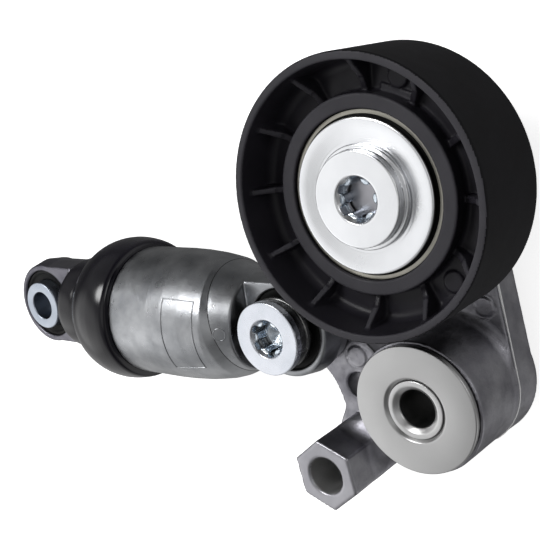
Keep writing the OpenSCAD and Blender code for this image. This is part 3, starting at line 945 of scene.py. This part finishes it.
def bolt_pieces():
    base = 41.6
    idler = bolt_head(
        "idler_bolt",
        upright(PULLEY[0], PULLEY[1], base + 3.5),
        base + 3.5,
        [(13.0, base, base + 1.2, 0.35), (11.9, base + 1.1, base + 3.5, 0.25)],
        4.95,
        14.0,
    )
    finish_piece(idler, "arm", "zinc_pulley", "zinc_steel", "pulley_bolt")
    socket_finish(idler, PULLEY_XY, base + 3.5)
    strut_place = upright(BOLT[0], BOLT[1], 33.0)
    strut = bolt_head("strut_pivot_bolt", strut_place, 33.0, [(11.1, 30.5, 33.0, 0.3)], 4.95, 1.0)
    finish_piece(strut, "arm", "zinc_bolt", "zinc_steel", "strut_bolt")
    socket_finish(strut, BOLT_XY, 33.0)
    spacer = lathe(
        "strut_spacer_turned",
        rounded(
            [
                (5, 11), (7, 11), (7, 25.0), (10.8, 25.0), (10.8, 27.2),
                (10.35, 27.4), (10.35, 28.0), (10.8, 28.2), (10.8, 30.5), (5, 30.5),
            ],
            0.22,
            3,
        ),
        BOLT_FRAME,
    )
    finish_piece(spacer, "arm", "spacer_steel", "zinc_steel", "strut_spacer")


# ---------------------------------------------------------------- strut

EYE_R, EYE_DRAFT, EYE_HALF = 14.6, 1.2, 6.4


def eye_shape(s, a, z, centre, reach_low, reach_high):
    """Drafted eye with its flat tongue, before the bore."""
    wide = EYE_DRAFT * (1 - np.abs(z) / EYE_HALF)
    ring = np.hypot(s - centre, a) - EYE_R - wide
    tongue = np.maximum(np.abs(a) - (EYE_R - 0.4) - wide, slab(s, reach_low, reach_high))
    return smooth_and(np.minimum(ring, tongue), np.abs(z) - EYE_HALF, 0.7)


def housing_field(s, a, z):
    rho = np.hypot(a, z)
    lat = a / np.maximum(rho, 1e-6)
    crease = 18.9 - 4.07 * lat
    ledge = 21.6 - 2.5 * lat
    base = np.interp(
        s,
        [12.5, 14, 16.3, 18, 20, 23, 27, 31, 38, 44, 60.3],
        [14.9, 15.6, 16.4, 17.0, 17.7, 18.6, 19.3, 19.9, 20.5, 20.7, 20.7],
    )
    outer = base + 0.6 * np.clip((s - crease) / (ledge - crease), 0, 1)
    body = smooth_and((rho - outer) * 0.95, slab(s, 13.4, 61.0), 0.45)
    eye = eye_shape(s, a, z, 0, 0, 16)
    d = smooth_or(body, eye, 0.6)
    d = np.minimum(d, np.maximum(rho - 19.6, slab(s, 50, 66)))
    d = cut(d, np.maximum(rho - 17.2, slab(s, 25, 80)), 0.4)
    d = cut(d, np.maximum(rho - 8.5, slab(s, 19.5, 30)), 0.2)
    bore = np.hypot(s, a) - 12.6
    return cut(d, bore, 0.5)


def on_body(s, degrees, radius):
    """Point and normal on the strut's round body; degrees from the top towards across."""
    t = math.radians(degrees)
    n = (0.0, math.sin(t), math.cos(t))
    return (s, radius * n[1], radius * n[2]), n


def body_radius(s):
    return float(
        np.interp(
            s,
            [14, 16.3, 18, 20, 23, 27, 31, 38, 44],
            [15.6, 16.4, 17.0, 17.7, 18.6, 19.3, 19.9, 20.5, 20.7],
        )
    )


def housing_marks():
    """Raised frame of the mould insert, the ring left by an ejector pin, and a near-black strip along the
    crease that is painted shadow.
    """
    line, normals = [], []
    corners = [(25.2, -31), (37, -31), (37, 35), (25.2, 35)]
    for i, (s0, t0) in enumerate(corners):
        s1, t1 = corners[(i + 1) % 4]
        for k in range(16):
            w = k / 16
            s, t = s0 + (s1 - s0) * w, t0 + (t1 - t0) * w
            p, n = on_body(s, t, body_radius(s) + 0.6)
            line.append(p)
            normals.append(n)
    mark = sweep("mould_frame", line, normals, 0.45, 0.2, STRUT_FRAME)
    finish_piece(mark, "strut", "cast_strut", "cast_strut")
    line, normals = [], []
    for k in range(48):
        b = 2 * math.pi * k / 48
        s, t = 16.9 + 1.9 * math.cos(b), -1 + math.degrees(1.9 * math.sin(b) / 16.6)
        p, n = on_body(s, t, body_radius(s) - 0.02)
        line.append(p)
        normals.append(n)
    ring = sweep("ejector_ring", line, normals, 0.4, 0.16, STRUT_FRAME)
    finish_piece(ring, "strut", "cast_strut", "cast_strut")
    # Near-black strip along the crease: painted shadow standing in for the shade of the step.
    line, normals = [], []
    for k in range(120):
        t = 3 * k
        s = 18.9 - 4.07 * math.sin(math.radians(t))
        p, n = on_body(s, t, body_radius(s))
        line.append(p)
        normals.append(n)
    crease = sweep("crease_shadow_line", line, normals, 0.32, 0.05, STRUT_FRAME)
    finish_piece(crease, "strut", "crease_painted_shade", "cast_strut")


def rubber_profile(inner):
    return rounded(
        [
            (inner, -4.4), (inner + 0.9, -4.6), (inner + 2.2, -4.9), (11.6, -5.5), (12.6, -5.5),
            (12.6, 5.5), (11.6, 5.5), (inner + 2.2, 4.9), (inner + 0.9, 4.6), (inner, 4.4),
        ],
        0.5,
    )


def strut_pieces():
    low, high = (-16.5, -22, -22), (66.5, 22, 22)
    housing = surface_net("housing_casting", housing_field, low, high, 0.4, STRUT_FRAME)
    finish_piece(housing, "strut", "cast_strut", "cast_strut", "strut_housing")
    housing_marks()
    bush = lathe("housing_bush_moulded", rubber_profile(7.05), upright(BOLT[0], BOLT[1], BOLT[2]))
    finish_piece(bush, "strut", "bush_rubber", "bush_rubber", "housing_bush")


def boot_piece():
    outside = smooth_line(
        [
            (21.3, 61.1),
            (22.6, 61.4),
            (23.45, 62.3),
            (23.9, 63.9),
            (24.2, 65.7),
            (24.4, 67.7),
            (24.4, 69.6),
            (24.0, 72.8),
            (22.9, 76.4),
            (20.95, 80.0),
            (18.5, 82.9),
            (16.2, 84.6),
            (15.7, 85.4),
            (15.75, 86.5),
            (16.0, 88.2),
            (16.15, 90.5),
            (16.1, 93.2),
            (15.5, 94.6),
            (14.6, 95.0),
        ],
        6,
    )
    inside = smooth_line(
        [
            (14.05, 94.6),
            (14.0, 91),
            (14.0, 87.6),
            (14.4, 85.6),
            (16.6, 82.4),
            (19.6, 79.0),
            (21.6, 75.6),
            (22.6, 71),
            (22.6, 68),
            (21.8, 66.2),
            (19.9, 65.9),
            (19.65, 64),
            (19.65, 61.6),
            (20.2, 61.1),
        ],
        5,
    )
    boot = lathe("boot_moulded", outside + inside, STRUT_LATHE, 160, 60)
    boot.data.materials.clear()
    boot.data.materials.append(MATS["boot_rubber"])
    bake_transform(boot)
    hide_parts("boot")


def spring_piece():
    turns, wire, coil = 7, 1.6, 12.4
    first, last = 28.1, 82.8
    steps, sides = turns * 32, 12
    verts = []
    for i in range(steps + 1):
        t = i / steps
        w = t * 0.5 if t < 0.1 else 1 - (1 - t) * 0.5 if t > 0.9 else 0.05 + (t - 0.1) * 1.125
        a = 2 * math.pi * turns * t
        for k in range(sides):
            b = 2 * math.pi * k / sides
            r = coil + wire * math.cos(b)
            verts.append((first + (last - first) * w + wire * math.sin(b), r * math.cos(a), r * math.sin(a)))
    faces = []
    for i in range(steps):
        for k in range(sides):
            j = (k + 1) % sides
            faces.append([i * sides + k, i * sides + j, (i + 1) * sides + j, (i + 1) * sides + k])
    faces.append([k for k in range(sides)][::-1])
    faces.append([steps * sides + k for k in range(sides)])
    spring = make_object("return_spring_wound", verts, faces, STRUT_FRAME, 50)
    spring.data.materials.append(MATS["dark_steel"])
    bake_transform(spring)
    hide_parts("return_spring")


def rod_eye_field(s, a, z):
    rho = np.hypot(a, z)
    neck = smooth_and(rho - 13.9, slab(s, 86, 96.6), 0.5)
    eye = eye_shape(s, a, z, STRUT_LENGTH, 95.5, STRUT_LENGTH)
    d = smooth_or(neck, eye, 1.6)
    d = cut(d, np.maximum(rho - 6.0, s - 94.4), 0.2)
    return cut(d, np.hypot(s - STRUT_LENGTH, a) - 12.6, 0.6)


def rod_pieces():
    eye = surface_net("rod_eye_casting", rod_eye_field, (85, -17, -17), (129.5, 17, 17), 0.45, STRUT_FRAME)
    finish_piece(eye, "rod", "cast_eye", "cast_strut", "rod_eye")
    bush = lathe("rod_eye_bush_moulded", rubber_profile(8.8), EYE_FRAME)
    finish_piece(bush, "rod", "bush_rubber", "bush_rubber", "rod_eye_bush")
    sleeve = lathe(
        "eye_sleeve_turned",
        rounded([(5.1, -9), (8.75, -9), (8.75, 9), (5.1, 9)], [0.5, 0.5, 0.5, 0.5], 5),
        EYE_FRAME,
    )
    finish_piece(sleeve, "eye_sleeve", "zinc_eye", "zinc_steel", "eye_sleeve")


pivot_pieces()
arm_pieces()
pulley_pieces()
bolt_pieces()
strut_pieces()
boot_piece()
spring_piece()
rod_pieces()

# CAD nodes that stay as they are, with their own finish
KEPT = {
    "pivot_bushes": "bush_bronze",
    "bearing_inner_ring": "bearing_steel",
    "ball_cage": "cage_plastic",
    "bearing_balls": "bearing_steel",
    "pressure_cylinder": "dark_steel",
    "check_valve": "dark_steel",
    "rear_spring_seat": "dark_steel",
    "front_spring_seat": "dark_steel",
    "piston_rod": "zinc_eye",
}
for node, mat in KEPT.items():
    mesh = NODES[node].data
    mesh.materials.clear()
    mesh.materials.append(MATS[mat])
    mesh.shade_smooth()
    mesh.set_sharp_from_angle(angle=math.radians(30))

# ---------------------------------------------------------------- floor, light, camera

FLOOR_Z = cad_low[2] - 0.0006


def floor_piece():
    size = 30.0
    z = FLOOR_Z / MM
    s = size / MM
    obj = make_object("floor", [(-s, -s, z), (s, -s, z), (s, s, z), (-s, s, z)], [[0, 1, 2, 3]])
    mat = bpy.data.materials.new("floor_pale")
    mat.use_nodes = True
    bsdf = mat.node_tree.nodes["Principled BSDF"]
    bsdf.inputs["Base Color"].default_value = (0.86, 0.86, 0.86, 1)
    bsdf.inputs["Roughness"].default_value = 0.9
    bsdf.inputs["Specular IOR Level"].default_value = 0.1
    bsdf.inputs["Emission Color"].default_value = (1, 1, 1, 1)
    bsdf.inputs["Emission Strength"].default_value = 0.74
    obj.data.materials.append(mat)
    obj.visible_glossy = False


# Soft lights of the studio: direction, inner and outer half angle in degrees, strength
SOFT_LIGHTS = [
    ((-0.80, -0.15, 0.58), 18, 36, 0.70),
    ((-0.50, -0.11, 0.85), 0, 60, 0.36),
    ((0.89, -0.41, -0.20), 0, 54, 0.32),
    ((-0.64, -0.77, 0.07), 0, 54, 0.60),
    ((-0.54, 0.77, 0.34), 10, 34, 0.22),
    ((0.74, 0.62, 0.25), 10, 34, 0.22),
    ((0.49, -0.76, -0.43), 10, 34, 0.50),
    ((0.83, 0.44, -0.34), 10, 34, 0.44),
    ((0.50, 0.10, 0.86), 8, 30, 0.50),
    ((0.86, 0.36, 0.36), 4, 15, 2.0),
    ((0.00, 0.60, -0.80), 0, 60, 0.12),
    ((-0.33, 0.54, 0.77), 4, 14, 12.0),
]
AMBIENT = 0.085


def studio_world():
    """Soft surround made of a few broad lights and one small bright one."""
    world = bpy.data.worlds.new("studio")
    bpy.context.scene.world = world
    world.use_nodes = True
    nt = world.node_tree
    nodes, links = nt.nodes, nt.links
    coords = nodes.new("ShaderNodeTexCoord")
    total = None
    for direction, inner, outer, strength in SOFT_LIGHTS:
        dot = nodes.new("ShaderNodeVectorMath")
        dot.operation = "DOT_PRODUCT"
        dot.inputs[1].default_value = Vector(direction).normalized()
        links.new(coords.outputs["Generated"], dot.inputs[0])
        level = nodes.new("ShaderNodeMapRange")
        level.interpolation_type = "SMOOTHSTEP" if inner else "LINEAR"
        level.inputs["From Min"].default_value = math.cos(math.radians(outer))
        level.inputs["From Max"].default_value = math.cos(math.radians(inner))
        level.inputs["To Max"].default_value = strength
        links.new(dot.outputs["Value"], level.inputs["Value"])
        add = nodes.new("ShaderNodeMath")
        add.operation = "ADD"
        links.new(level.outputs["Result"], add.inputs[0])
        if total is None:
            add.inputs[1].default_value = AMBIENT
        else:
            links.new(total, add.inputs[1])
        total = add.outputs[0]
    back = nodes["Background"]
    links.new(total, back.inputs["Color"])
    back.inputs["Strength"].default_value = 1.1


# Place of the camera and the point it looks at in millimetres, its roll in degrees, its lens
CAMERA_AT = (124.65, 93.18, 222.86)
CAMERA_AIM = (-52.02, 33.70, 20.0)
CAMERA_ROLL = -9.67
CAMERA_LENS = 61.64


def camera():
    at, aim = Vector(CAMERA_AT), Vector(CAMERA_AIM)
    view = (aim - at).normalized()
    side = view.cross(Vector((0, 1, 0))).normalized()
    up = side.cross(view)
    data = bpy.data.cameras.new("camera")
    data.sensor_fit = "HORIZONTAL"
    data.sensor_width = 36.0
    data.lens = CAMERA_LENS
    data.clip_start = 0.01
    obj = bpy.data.objects.new("camera", data)
    unrolled = Matrix((side, up, -view)).transposed().to_4x4()
    roll = Matrix.Rotation(math.radians(CAMERA_ROLL), 4, "Z")
    obj.matrix_world = Matrix.Translation(at * MM) @ unrolled @ roll
    bpy.context.scene.collection.objects.link(obj)
    bpy.context.scene.camera = obj


floor_piece()
studio_world()
camera()
bpy.context.scene.view_settings.view_transform = "Standard"
